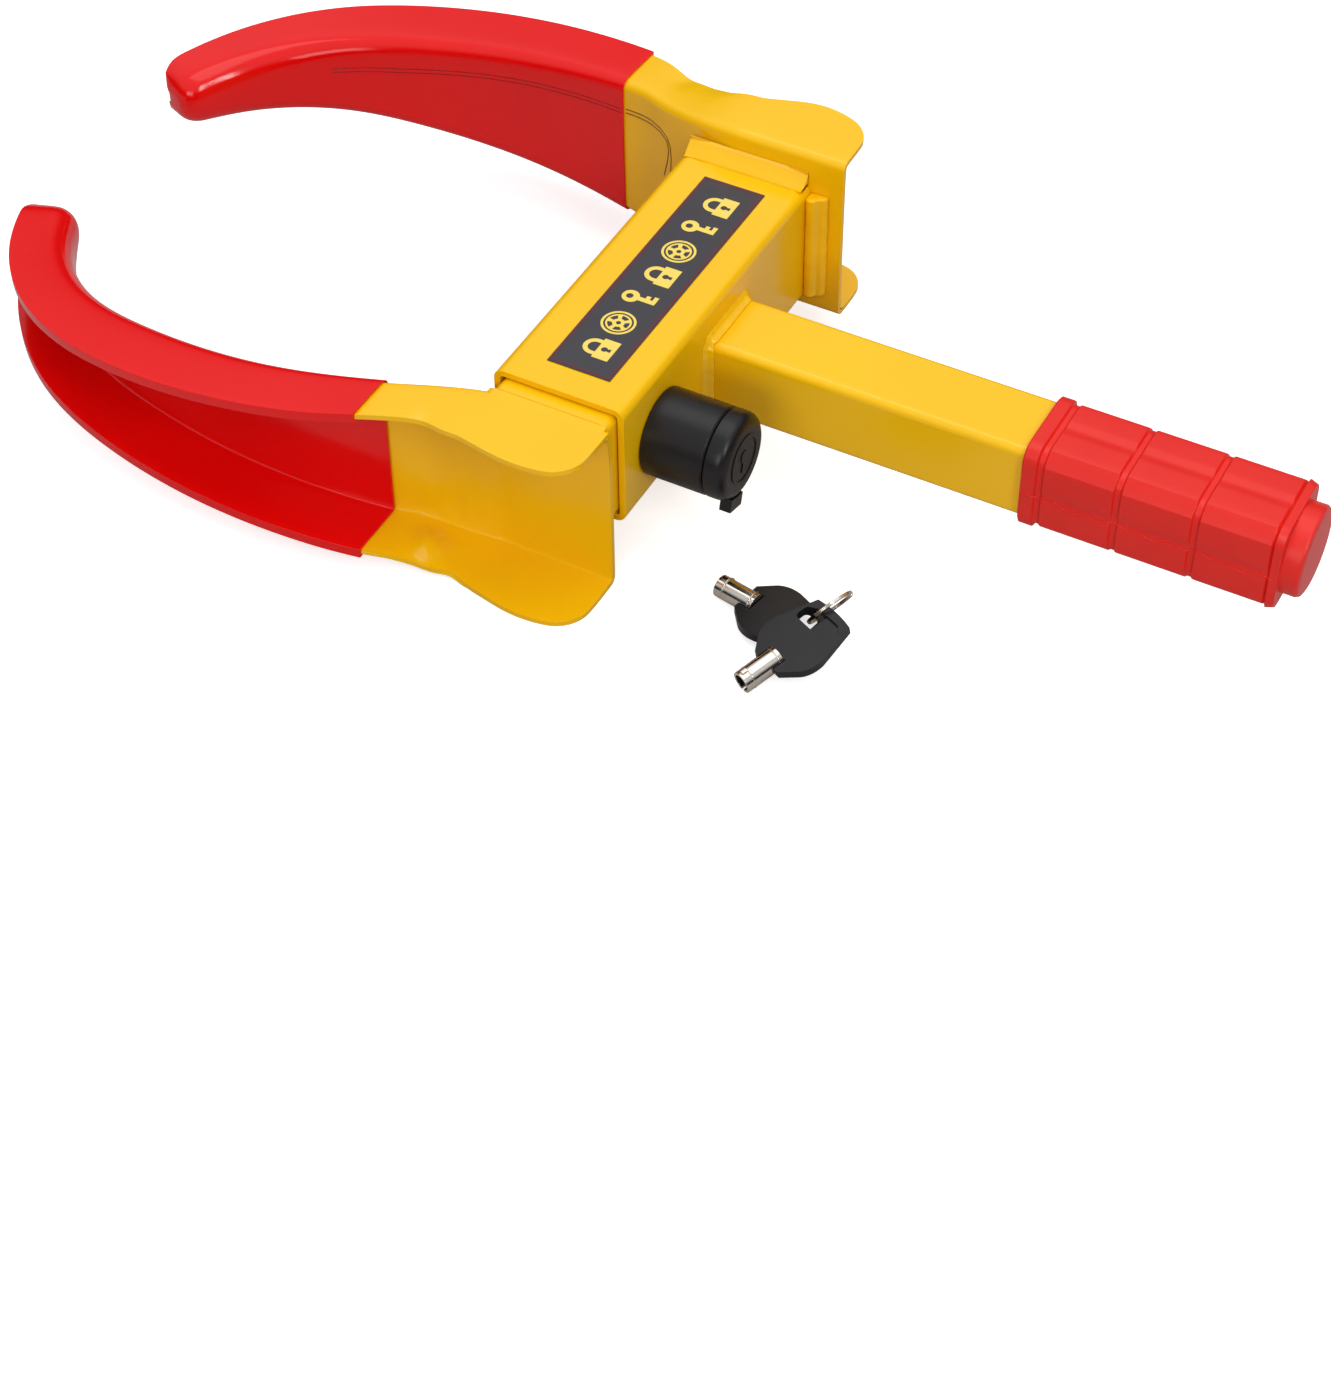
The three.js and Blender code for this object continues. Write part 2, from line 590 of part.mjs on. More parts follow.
function keyBow() {
  const { near, far, half, start, thick, barrel } = KEY;
  const shape = new THREE.Shape();
  shape.moveTo(near, -8.4).lineTo(far - 14, -half);
  shape.quadraticCurveTo(far - 9, -half - 0.8, far - 5.5, -half + 1.6);
  shape.lineTo(far, -6.2).lineTo(far, 6.2).lineTo(far - 5.5, half - 1.6);
  shape.quadraticCurveTo(far - 9, half + 0.8, far - 14, half).lineTo(near, 8.4);
  shape.quadraticCurveTo(near - 1.6, 0, near, -8.4);
  const slot = new THREE.Path();
  slot.moveTo(-5, 5).lineTo(-3, 8.2).quadraticCurveTo(-2.6, 8.8, -1.6, 8.8).lineTo(0.6, 8.8);
  slot.quadraticCurveTo(2.6, 8.8, 2.6, 6.8).lineTo(2.6, -6.8).quadraticCurveTo(2.6, -8.8, 0.6, -8.8);
  slot.lineTo(-1.6, -8.8).quadraticCurveTo(-2.6, -8.8, -3, -8.2).lineTo(-5, -5);
  shape.holes.push(slot);
  const plate = new THREE.ExtrudeGeometry(shape, { depth: thick, bevelEnabled: false, curveSegments: 6 });
  const seat = new THREE.CylinderGeometry(barrel + GAP, barrel + GAP, 14, 28);
  const bed = toSolid(seat.rotateZ(Math.PI / 2).translate(start + 7, 0, 0));
  return cut(toSolid(plate.translate(0, 0, -thick / 2)), bed);
}

function keyBarrel() {
  const { barrel, bore, end } = KEY;
  const start = KEY.start + GAP;
  const tube = ringX(start + 2, end, barrel, bore, 0, 0, 28);
  const root = rodX(start, start + 2, barrel, 0, 0, 28);
  const lug = block(end - 3.2, end - 0.9, -0.7, 0.7, bore + 0.2, barrel + 0.7);
  const notch = block(end - 1.6, end + 1, -0.6, 0.6, -barrel - 1, -bore + 1);
  return cut(join(tube, root, lug), notch);
}

function keyGroup(name, pose) {
  const [x, y] = ringCrossing(pose.level);
  const turn = radians(pose.heading);
  const [along, across] = [new THREE.Vector2(Math.cos(turn), Math.sin(turn)),
    new THREE.Vector2(-Math.sin(turn), Math.cos(turn))];
  const slot = new THREE.Vector2(x, y).addScaledVector(across, pose.slide);
  slot.addScaledVector(along, -pose.draw);
  const group = new THREE.Group();
  group.position.set(slot.x, slot.y, pose.level);
  group.rotation.set(0, radians(pose.pitch), radians(pose.heading), 'ZYX');
  group.add(piece(`${name}_bow`, keyBow(), plastic()), piece(`${name}_barrel`, keyBarrel(), nickel()));
  return group;
}

function keyRing() {
  const { radius, wire, heading, lean, x, y, level } = RING;
  const ring = piece('key_ring', toSolid(new THREE.TorusGeometry(radius, wire, 8, 32)), nickel());
  const along = radians(heading);
  ring.rotation.set(Math.PI / 2 + radians(lean), 0, along, 'ZYX');
  ring.position.set(x + radius * Math.cos(along), y + radius * Math.sin(along), level);
  return ring;
}

// ---- Assembly --------------------------------------------------------------------------------
const clamp = new THREE.Group();
clamp.name = 'wheel_clamp';
clamp.add(
  piece('body_tube', bodyTube(), paint()),
  piece('body_label', bodyLabel(), plastic()),
  piece('stop_pin', stopPin(), zinc()),
  piece('handle_tube', handleTube(), paint()),
  piece('handle_weld', handleWeld(), paint()),
  piece('handle_grip', handleGrip(), rubber()),
  piece('back_jaw', clawPressing(BACK), paint()),
  piece('back_jaw_coat', clawCoating(BACK), coat()),
  piece('back_weld_top', backWeldTop(), paint()),
  piece('back_weld_side', backWeldSide(), paint()),
  piece('slide_tube', slideTube(), paint()),
  piece('slide_end_plug', slideEndPlug(), plastic()),
  piece('front_jaw', clawPressing(FRONT), paint()),
  piece('front_jaw_coat', clawCoating(FRONT), coat()),
  piece('front_weld', frontWeld(), paint()),
  piece('lock_housing', lockRing(FACE, SLEEVE.end, SLEEVE.outer, SLEEVE.inner, 40), zinc()),
  piece('lock_cover', lockCover(), plastic()),
  piece('lock_retainer', lockRing(SLEEVE.end + FINE, SLEEVE.end + 0.95, 12.6, 8.7, 40), zinc()),
  piece('lock_plunger', lockPlunger(), zinc()),
  piece('lock_core', lockCore(), nickel()),
  piece('lock_bolt', lockRod(47.5, PLUNGER.back - FINE, LOCK.boltRadius, 24), zinc()),
  piece('bolt_spring', boltSpring(), zinc()),
  piece('dust_cap', dustCap(), plastic()),
  keyGroup('key_a', KEY_A),
  keyGroup('key_b', KEY_B),
  keyRing(),
);

export default clamp;
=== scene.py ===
import math

import bmesh
import bpy
from mathutils import Matrix, Vector


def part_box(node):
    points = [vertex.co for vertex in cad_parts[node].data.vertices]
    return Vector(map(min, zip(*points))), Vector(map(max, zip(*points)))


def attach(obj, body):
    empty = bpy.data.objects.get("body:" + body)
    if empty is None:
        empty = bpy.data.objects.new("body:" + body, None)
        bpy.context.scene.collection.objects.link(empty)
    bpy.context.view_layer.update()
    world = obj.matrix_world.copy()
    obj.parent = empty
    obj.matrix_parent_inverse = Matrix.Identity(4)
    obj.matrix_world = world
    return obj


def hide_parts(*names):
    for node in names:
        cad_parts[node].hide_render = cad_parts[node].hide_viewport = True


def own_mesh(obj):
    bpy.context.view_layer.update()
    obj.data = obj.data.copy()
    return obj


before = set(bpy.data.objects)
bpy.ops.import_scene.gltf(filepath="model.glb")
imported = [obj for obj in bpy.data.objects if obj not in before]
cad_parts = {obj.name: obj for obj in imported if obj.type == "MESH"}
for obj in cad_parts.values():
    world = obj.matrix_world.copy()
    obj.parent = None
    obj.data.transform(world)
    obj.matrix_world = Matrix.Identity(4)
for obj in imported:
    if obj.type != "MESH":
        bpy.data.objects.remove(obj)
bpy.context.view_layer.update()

# Studio: the clamp lies on a white sweep under one large overhead softbox, with a low fill in
# front, and a strip light at the front right that draws the bright lines along the black lock.
focal_length, sensor_long_side = 79.53, 36.0
camera_place = Vector((0.4298, -0.7365, 0.6986))
azimuth, elevation, roll = (math.radians(angle) for angle in (28.71, 46.53, -0.65))
backward = Vector((math.sin(azimuth) * math.cos(elevation),
                   -math.cos(azimuth) * math.cos(elevation), math.sin(elevation)))
level = Vector((math.cos(azimuth), math.sin(azimuth), 0.0))
upward = backward.cross(level)
right_hand = level * math.cos(roll) + upward * math.sin(roll)
head_up = upward * math.cos(roll) - level * math.sin(roll)
view_axes = Matrix((right_hand, head_up, backward)).transposed()
bpy.ops.object.camera_add()
camera = bpy.context.object
camera.matrix_world = Matrix.Translation(camera_place) @ view_axes.to_4x4()
camera.data.sensor_width = sensor_long_side
camera.data.lens = focal_length
bpy.context.scene.camera = camera
bpy.context.scene.view_settings.view_transform = "Standard"


def softbox(name, place, target, width, depth, power):
    direction = Vector(target) - Vector(place)
    bpy.ops.object.light_add(type="AREA", location=place,
                             rotation=direction.to_track_quat("-Z", "Y").to_euler())
    light = bpy.context.object
    light.name = name
    light.data.shape = "RECTANGLE"
    light.data.size, light.data.size_y = width, depth
    light.data.energy = power


softbox("overhead_softbox", (0.05, 0.35, 1.9), (0.0, 0.0, 0.0), 2.0, 1.4, 12.5)
softbox("front_fill", (0.3, -2.2, 0.9), (0.0, 0.0, 0.0), 1.4, 0.7, 12)
softbox("strip_light", (1.15, -0.75, 1.0), (0.05, 0.0, 0.0), 0.16, 0.7, 6)


def linear(hex_colour):
    """An sRGB hex colour as linear red, green, blue and alpha."""
    parts = [int(hex_colour[i:i + 2], 16) / 255 for i in (0, 2, 4)]
    return [c / 12.92 if c <= 0.04045 else ((c + 0.055) / 1.055) ** 2.4 for c in parts] + [1.0]


def add_node(tree, kind, settings=None, links=None):
    """Adds a node, sets its sockets or its options, and links other sockets into it."""
    node = tree.nodes.new(kind)
    for key, value in (settings or {}).items():
        if isinstance(key, int) or key in node.inputs:
            node.inputs[key].default_value = value
        else:
            setattr(node, key, value)
    for key, socket in (links or {}).items():
        tree.links.new(socket, node.inputs[key])
    return node


def new_material(name, **settings):
    """A material with one Principled shader, and its Object coordinates."""
    material = bpy.data.materials.new(name)
    material.use_nodes = True
    tree = material.node_tree
    shader = tree.nodes["Principled BSDF"]
    for key, value in settings.items():
        shader.inputs[key.replace("_", " ")].default_value = value
    place = add_node(tree, "ShaderNodeTexCoord").outputs["Object"]
    return material, tree, shader, place


world = bpy.data.worlds.new("studio_air")
world.use_nodes = True
sky_side = add_node(world.node_tree, "ShaderNodeSeparateXYZ", links={
    "Vector": add_node(world.node_tree, "ShaderNodeTexCoord").outputs["Generated"]})
card = add_node(world.node_tree, "ShaderNodeValToRGB", links={"Fac": sky_side.outputs["Z"]})
card.color_ramp.elements[0].position, card.color_ramp.elements[0].color = 0.0, linear("1C1C20")
card.color_ramp.elements[1].position, card.color_ramp.elements[1].color = 0.62, linear("EEF1F6")
card.color_ramp.elements.new(0.3).color = linear("3C3C42")
air = world.node_tree.nodes["Background"]
world.node_tree.links.new(card.outputs["Color"], air.inputs["Color"])
air.inputs["Strength"].default_value = 0.95
bpy.context.scene.world = world

# White laminate sweep: matt, with a faint mottle, and backlit so that the shadow under the
# clamp stays soft and pale. What it throws back on the clamp is a little dimmer.
sweep_paper, tree, shader, place = new_material("white_sweep", Roughness=0.9)
mottle = add_node(tree, "ShaderNodeTexNoise", {"Scale": 6.0, "Detail": 3.0}, {"Vector": place})
tint = add_node(tree, "ShaderNodeValToRGB", links={"Fac": mottle.outputs["Fac"]})
tint.color_ramp.elements[0].color = linear("E4E4E3")
tint.color_ramp.elements[1].color = linear("EAEAEA")
sight = add_node(tree, "ShaderNodeLightPath").outputs["Is Camera Ray"]
bounce = add_node(tree, "ShaderNodeMix", {"data_type": "RGBA", 6: linear("B4B2B0")},
                  {0: sight, 7: tint.outputs["Color"]})
tree.links.new(bounce.outputs[2], shader.inputs["Base Color"])
shader.inputs["Emission Color"].default_value = linear("FFFFFF")
seen = add_node(tree, "ShaderNodeMapRange", {"To Max": 0.65},
                {"Value": sight})
tree.links.new(seen.outputs[0], shader.inputs["Emission Strength"])
sweep_size, sweep_gap = 14.0, 0.0001
sweep_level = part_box("front_jaw")[0].z - sweep_gap
bpy.ops.mesh.primitive_plane_add(size=sweep_size, location=(0.0, 0.0, sweep_level))
sweep = bpy.context.object
sweep.name = "white_sweep"
sweep.data.materials.append(sweep_paper)

# Body tube: a length of 50 mm square steel tube, sprayed in gloss yellow enamel after welding.
# Its sawn ends and the bores for the lock and the stop pin are eased.
millimetre = 0.001


def enamel(name, deep, pale):
    """Gloss enamel: colour that varies slowly, uneven gloss and a fine orange peel."""
    material, tree, shader, place = new_material(name, IOR=1.5, Specular_IOR_Level=0.4)
    cloud = add_node(tree, "ShaderNodeTexNoise", {"Scale": 1 / (60 * millimetre), "Detail": 2.0},
                     {"Vector": place})
    body = add_node(tree, "ShaderNodeMix", {"data_type": "RGBA", 6: linear(deep), 7: linear(pale)},
                    {0: cloud.outputs["Fac"]})
    tree.links.new(body.outputs[2], shader.inputs["Base Color"])
    haze = add_node(tree, "ShaderNodeTexNoise", {"Scale": 1 / (9 * millimetre), "Detail": 4.0},
                    {"Vector": place})
    gloss = add_node(tree, "ShaderNodeMapRange", {"To Min": 0.15, "To Max": 0.26},
                     {"Value": haze.outputs["Fac"]})
    tree.links.new(gloss.outputs[0], shader.inputs["Roughness"])
    peel = add_node(tree, "ShaderNodeTexNoise", {"Scale": 1 / (1.6 * millimetre), "Detail": 1.0},
                    {"Vector": place})
    bump = add_node(tree, "ShaderNodeBump", {"Strength": 0.25, "Distance": 0.00005},
                    {"Height": peel.outputs["Fac"]})
    tree.links.new(bump.outputs["Normal"], shader.inputs["Normal"])
    return material


yellow_enamel = enamel("yellow_enamel", "F5BA02", "FCC406")


def alone(piece):
    """Selects one object only, and makes it the active one."""
    bpy.ops.object.select_all(action="DESELECT")
    piece.select_set(True)
    bpy.context.view_layer.objects.active = piece


def from_solid(node, name, material):
    """A new piece that starts as a merged copy of a solid, and stands for it."""
    piece = bpy.data.objects.new(name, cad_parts[node].data.copy())
    bpy.context.scene.collection.objects.link(piece)
    piece.data.materials.clear()
    piece.data.materials.append(material)
    alone(piece)
    bpy.ops.object.mode_set(mode="EDIT")
    bpy.ops.mesh.select_all(action="SELECT")
    bpy.ops.mesh.remove_doubles(threshold=0.000002)
    bpy.ops.mesh.normals_make_consistent(inside=False)
    bpy.ops.object.mode_set(mode="OBJECT")
    bpy.ops.mesh.customdata_custom_splitnormals_clear()
    return piece


def eased(piece, width, angle=40, steps=2):
    """Breaks the sharp edges of a piece with a small round, and shades the rest smooth."""
    alone(piece)
    bpy.ops.object.mode_set(mode="EDIT")
    bpy.ops.mesh.select_all(action="SELECT")
    bpy.ops.mesh.dissolve_limited(angle_limit=math.radians(0.4))
    bpy.ops.object.mode_set(mode="OBJECT")
    bevel = piece.modifiers.new("eased edges", "BEVEL")
    bevel.width, bevel.segments = width, steps
    bevel.limit_method, bevel.angle_limit = "ANGLE", math.radians(angle)
    bpy.ops.object.modifier_apply(modifier=bevel.name)
    bpy.ops.object.shade_smooth_by_angle(angle=math.radians(48))
    level_faces = piece.modifiers.new("flat faces stay flat", "WEIGHTED_NORMAL")
    level_faces.keep_sharp = True
    bpy.ops.object.modifier_apply(modifier=level_faces.name)


def fitted(piece, body, slot, *nodes):
    """The piece moves with its body and stands for those solids. The slot is not used."""
    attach(piece, body)
    if nodes:
        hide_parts(*nodes)


body_shell = from_solid("body_tube", "body_shell", yellow_enamel)
eased(body_shell, 0.5 * millimetre)
fitted(body_shell, "body", "yellow_paint", "body_tube")

# Slide tube: a 44 mm square tube that telescopes in the body, with six bolt holes in a row and
# a slot underneath for the stop pin. The same enamel, over a plastic plug in its inner end.
slide_shell = from_solid("slide_tube", "slide_shell", yellow_enamel)
eased(slide_shell, 0.35 * millimetre)
fitted(slide_shell, "slide", "yellow_paint", "slide_tube")

# Claws: 2 mm sheet steel pressed to a channel, wide at the root and curled at the arm, with a
# crease across the web where the root turns into the arm and pull marks from the die. Places of
# the marks are in millimetres.


def smooth_pressing(node, name, material, lip, boundary_lip, crease_at=None):
    """The channel with its sheet edges rounded and its facets smoothed. The lips are rounded by
    the first width, and the end near the handle and the nose at the tip by the second. The web
    keeps a sharper line where it is creased."""
    piece = from_solid(node, name, material)
    bpy.ops.object.mode_set(mode="EDIT")
    bpy.ops.mesh.select_all(action="SELECT")
    loose = math.radians(60)
    bpy.ops.mesh.tris_convert_to_quads(face_threshold=loose, shape_threshold=loose)
    bpy.ops.object.mode_set(mode="OBJECT")
    near_end = max(vertex.co.x for vertex in piece.data.vertices) - 0.6 * millimetre
    nose_start = min(abs(vertex.co.y) for vertex in piece.data.vertices) + 14 * millimetre
    sheet = bmesh.new()
    sheet.from_mesh(piece.data)
    weight = sheet.edges.layers.float.new("bevel_weight_edge")
    for edge in sheet.edges:
        if len(edge.link_faces) == 2 and edge.calc_face_angle() > math.radians(50):
            at_end = all(corner.co.x > near_end for corner in edge.verts)
            at_nose = any(abs(corner.co.y) < nose_start for corner in edge.verts)
            edge[weight] = boundary_lip / lip if at_end or at_nose else 1.0
    crease = sheet.edges.layers.float.new("crease_edge")
    near_crease, crease_strength = 0.3 * millimetre, 0.85
    for edge in sheet.edges:
        if crease_at and all(abs(corner.co.x - crease_at) < near_crease for corner in edge.verts):
            edge[crease] = crease_strength
    sheet.to_mesh(piece.data)
    sheet.free()
    rounding = piece.modifiers.new("sheet edges", "BEVEL")
    rounding.width, rounding.segments, rounding.limit_method = lip, 3, "WEIGHT"
    bpy.ops.object.modifier_apply(modifier=rounding.name)
    smoothing = piece.modifiers.new("smooth sheet", "SUBSURF")
    smoothing.levels = smoothing.render_levels = 2
    bpy.ops.object.modifier_apply(modifier=smoothing.name)
    bpy.ops.object.shade_smooth()
    return piece


def press_mark(piece, centre, reach, push):
    """A soft dent or swelling that the die leaves round one point of the sheet."""
    centre, push = Vector(centre) * millimetre, Vector(push) * millimetre
    for vertex in piece.data.vertices:
        apart = (vertex.co - centre).length / (reach * millimetre)
        vertex.co += push * math.exp(-apart ** 2)


def press_crease(piece, crease_at, reach, push, web_low, web_high):
    """The valley that the die leaves across the web, where the root turns into the arm."""
    push = Vector(push) * millimetre
    for vertex in piece.data.vertices:
        apart = abs(vertex.co.x - crease_at * millimetre) / (reach * millimetre)
        if web_low * millimetre < vertex.co.z < web_high * millimetre:
            vertex.co += push * math.exp(-apart) * abs(vertex.normal.y) ** 2


sheet_lip = 0.5 * millimetre
front_claw = smooth_pressing("front_jaw", "front_claw", yellow_enamel, sheet_lip, sheet_lip,
                             crease_at=5 * millimetre)
press_mark(front_claw, (-21, -86, -23), 6.5, (0, -2.4, 0.8))
press_mark(front_claw, (-13, -97, -41), 6, (0, -0.6, 4.0))
press_mark(front_claw, (-2, -104, -44.5), 5, (0, 2.6, 0.6))
press_mark(front_claw, (-9, -103, 21.5), 5, (0, 1.2, -0.8))
press_mark(front_claw, (-20, -85, -5), 5, (0, -2.0, 0))
press_mark(front_claw, (-13, -83, 2), 6, (0, 1.8, 0))
press_crease(front_claw, -13, 12, (0, 1.9, 0), -38, 16)
fitted(front_claw, "slide", "yellow_paint", "front_jaw")
back_claw = smooth_pressing("back_jaw", "back_claw", yellow_enamel, sheet_lip, sheet_lip,
                            crease_at=19 * millimetre)
press_mark(back_claw, (-2, 98, 36.0), 6, (0, 0.5, -1.8))
press_mark(back_claw, (6, 98, 37.0), 4.5, (0, -2.2, -0.4))
press_mark(back_claw, (-14, 99, 33.5), 6, (0, 0, -1.2))
press_mark(back_claw, (-13, 97, -29.5), 7, (0, 0.6, 1.6))
fitted(back_claw, "body", "yellow_paint", "back_jaw")

# Dip coating: soft red PVC on the arms of both claws, dipped and cured. It is thick, glossy and
# rounded, runs to a blunt nose at the tip and ends in a clean line at the root.


def dipped_pvc(name, deep, bright):
    """Plastisol: saturated, very smooth, with long soft waves from the dip."""
    material, tree, shader, place = new_material(name, IOR=1.49, Specular_IOR_Level=0.38)
    cloud = add_node(tree, "ShaderNodeTexNoise", {"Scale": 1 / (45 * millimetre), "Detail": 2.0},
                     {"Vector": place})
    body = add_node(tree, "ShaderNodeMix",
                    {"data_type": "RGBA", 6: linear(deep), 7: linear(bright)},
                    {0: cloud.outputs["Fac"]})
    tree.links.new(body.outputs[2], shader.inputs["Base Color"])
    haze = add_node(tree, "ShaderNodeTexNoise", {"Scale": 1 / (14 * millimetre), "Detail": 3.0},
                    {"Vector": place})
    gloss = add_node(tree, "ShaderNodeMapRange", {"To Min": 0.1, "To Max": 0.2},
                     {"Value": haze.outputs["Fac"]})
    tree.links.new(gloss.outputs[0], shader.inputs["Roughness"])
    wave = add_node(tree, "ShaderNodeTexNoise", {"Scale": 1 / (6 * millimetre), "Detail": 2.0},
                    {"Vector": place})
    bump = add_node(tree, "ShaderNodeBump", {"Strength": 0.2, "Distance": 0.00012},
                    {"Height": wave.outputs["Fac"]})
    tree.links.new(bump.outputs["Normal"], shader.inputs["Normal"])
    return material


red_pvc = dipped_pvc("red_dip_coating", "E00404", "EE0A08")
dip_lip, dip_end_lip = 1.1 * millimetre, 0.25 * millimetre
front_dip = smooth_pressing("front_jaw_coat", "front_dip", red_pvc, dip_lip, dip_end_lip)
fitted(front_dip, "slide", "red_dip", "front_jaw_coat")
back_dip = smooth_pressing("back_jaw_coat", "back_dip", red_pvc, dip_lip, dip_end_lip)
fitted(back_dip, "body", "red_dip", "back_jaw_coat")

# Die line: two fine parallel ridges that the die raises on the fixed claw's tyre side. They run
# along the arm near its top and turn down beside the tube, and show through enamel and dip.


def hugging_line(name, target, material, radius, path, direction, body, slot):
    """A fine round ridge on a surface, where the points of a path in millimetres land on it."""
    line = bpy.data.curves.new(name, "CURVE")
    line.dimensions, line.bevel_depth, line.bevel_resolution = "3D", radius, 2
    line.use_fill_caps = True
    steps = 6
    places = []
    for start, end in zip(path, path[1:]):
        places += [Vector(start).lerp(Vector(end), step / steps) for step in range(steps)]
    places.append(Vector(path[-1]))
    hits = [target.ray_cast(place * millimetre, Vector(direction)) for place in places]
    found = [hit[1] for hit in hits if hit[0]]
    spline = line.splines.new("POLY")
    spline.points.add(len(found) - 1)
    for point, place in zip(spline.points, found):
        point.co = (*place, 1.0)
    ridge = bpy.data.objects.new(name, line)
    bpy.context.scene.collection.objects.link(ridge)
    line.materials.append(material)
    alone(ridge)
    bpy.ops.object.convert(target="MESH")
    ridge = bpy.context.object
    bpy.ops.object.shade_smooth()
    fitted(ridge, body, slot)


# The ridges take darker copies of the dip and the enamel. This is painted shade, standing for the
# dark line of shade along the die crease.
dip_line_painted_shade = dipped_pvc("red_dip_painted_crease_shade", "8E0606", "9E0A08")
enamel_line_painted_shade = enamel("yellow_enamel_painted_crease_shade", "7A4C06", "8E5C08")
tyre_side = 60
arm_line = [(-160, tyre_side, 2.6), (-134, tyre_side, 5.5), (-99.4, tyre_side, 11.2),
            (-79, tyre_side, 14.0), (-60, tyre_side, 16.0), (-47, tyre_side, 17.2),
            (-37.5, tyre_side, 18.0)]
root_line = [(-35.5, tyre_side, 18.1), (-28.8, tyre_side, 19.2), (-22, tyre_side, 20.4),
             (-17, tyre_side, 20.2), (-13.4, tyre_side, 18.4), (-11.6, tyre_side, 15),
             (-11.2, tyre_side, 10), (-11.6, tyre_side, 2)]
outwards, turn_starts = (0, 1, 0), -24
arm_ridge, root_ridge = 0.17 * millimetre, 0.24 * millimetre
for number, (drop, shift) in enumerate(((0.0, 0.0), (-1.7, -2.0))):
    hugging_line(f"die_line_arm_{number}", back_dip, dip_line_painted_shade, arm_ridge,
                 [(x, y, z + drop) for x, y, z in arm_line], outwards, "body", "red_dip")
    # The second line keeps its distance from the first as both turn down.
    root_path = [(x + shift * (19.5 - z) / 10 if x > turn_starts else x, y, z + drop)
                 for x, y, z in root_line]
    hugging_line(f"die_line_root_{number}", back_claw, enamel_line_painted_shade, root_ridge, root_path,
                 outwards, "body", "yellow_paint")

# Welds: hand laid fillet beads under the enamel, one over the body and two down its end at the
# fixed claw, one round the handle's foot and one behind the sliding claw. Lumpy and rippled.


def weld_bead(node, name, body, grain, lump, pitch):
    """A fillet remeshed to an even skin and roughened by ripples of the given pitch."""
    bead = from_solid(node, name, yellow_enamel)
    skin = bead.modifiers.new("even skin", "REMESH")
    skin.mode, skin.voxel_size = "VOXEL", grain
    bpy.ops.object.modifier_apply(modifier=skin.name)
    ripple = bpy.data.textures.new(name + "_ripple", "CLOUDS")
    ripple.noise_scale, ripple.noise_depth = pitch, 1
    swell = bead.modifiers.new("ripples", "DISPLACE")
    swell.texture, swell.strength, swell.mid_level = ripple, lump, 0.45
    bpy.ops.object.modifier_apply(modifier=swell.name)
    ease = bead.modifiers.new("run together", "SMOOTH")
    ease.factor, ease.iterations = 0.5, 3
    bpy.ops.object.modifier_apply(modifier=ease.name)
    bpy.ops.object.shade_smooth()
    fitted(bead, body, "yellow_paint", node)


wide_pitch, usual_pitch, tight_pitch = 0.008, 0.005, 0.004
weld_bead("back_weld_side", "end_beads", "body", 0.45 * millimetre, 0.6 * millimetre, wide_pitch)
weld_bead("handle_weld", "handle_bead", "body", 0.35 * millimetre, 0.5 * millimetre, usual_pitch)
weld_bead("front_weld", "claw_bead", "slide", 0.35 * millimetre, 0.5 * millimetre, tight_pitch)

# Seam over the slide: the groove between the sliding tube and the claw's rolled edge is filled
# flush with weld and dressed, so that only a fine line is left.
fill_low = Vector((3.6, -79.4, 18.9)) * millimetre
fill_high = Vector((46.8, -75.42, 21.9)) * millimetre
bpy.ops.object.select_all(action="DESELECT")
bpy.ops.mesh.primitive_cube_add(size=1, location=(fill_low + fill_high) / 2)
seam = bpy.context.object
seam.name = "slide_seam"
seam.dimensions = fill_high - fill_low
bpy.ops.object.transform_apply(location=True, rotation=True, scale=True)
seam.data.materials.append(yellow_enamel)
eased(seam, 0.2 * millimetre)
fitted(seam, "slide", "yellow_paint")

# Handle: a 30 mm square steel tube, sawn square and welded to the body's outer side, and sprayed
# with it in the same enamel.
handle_shell = from_solid("handle_tube", "handle_shell", yellow_enamel)
eased(handle_shell, 0.3 * millimetre)
fitted(handle_shell, "body", "yellow_paint", "handle_tube")

# Grip: a moulded rubber sleeve pushed over the handle, with a collar, three ribbed bands with
# lengthwise pads, a wavy parting line on each side, and a round end with a pressed ring.


def moulded_rubber(name, deep, bright):
    """Thermoplastic rubber: satin, finely grained from the mould."""
    material, tree, shader, place = new_material(name, IOR=1.5, Specular_IOR_Level=0.35)
    cloud = add_node(tree, "ShaderNodeTexNoise", {"Scale": 1 / (20 * millimetre), "Detail": 3.0},
                     {"Vector": place})
    body = add_node(tree, "ShaderNodeMix",
                    {"data_type": "RGBA", 6: linear(deep), 7: linear(bright)},
                    {0: cloud.outputs["Fac"]})
    tree.links.new(body.outputs[2], shader.inputs["Base Color"])
    gloss = add_node(tree, "ShaderNodeMapRange", {"To Min": 0.3, "To Max": 0.46},
                     {"Value": cloud.outputs["Fac"]})
    tree.links.new(gloss.outputs[0], shader.inputs["Roughness"])
    grain = add_node(tree, "ShaderNodeTexNoise", {"Scale": 1 / (0.7 * millimetre), "Detail": 2.0},
                     {"Vector": place})
    bump = add_node(tree, "ShaderNodeBump", {"Strength": 0.3, "Distance": 0.00008},
                    {"Height": grain.outputs["Fac"]})
    tree.links.new(bump.outputs["Normal"], shader.inputs["Normal"])
    return material


red_rubber = moulded_rubber("red_rubber", "DB1A10", "E6261A")
grip = from_solid("handle_grip", "grip_sleeve", red_rubber)
eased(grip, 0.35 * millimetre, angle=30)
grip_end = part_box("handle_grip")[1].x
alone(grip)
bpy.ops.object.mode_set(mode="EDIT")
end_disc = bmesh.from_edit_mesh(grip.data)
for face in end_disc.faces:
    at_grip_end = face.calc_center_median().x > grip_end - 0.1 * millimetre
    face.select_set(face.normal.x > 0.99 and at_grip_end)
end_disc.select_flush_mode()
bmesh.update_edit_mesh(grip.data)
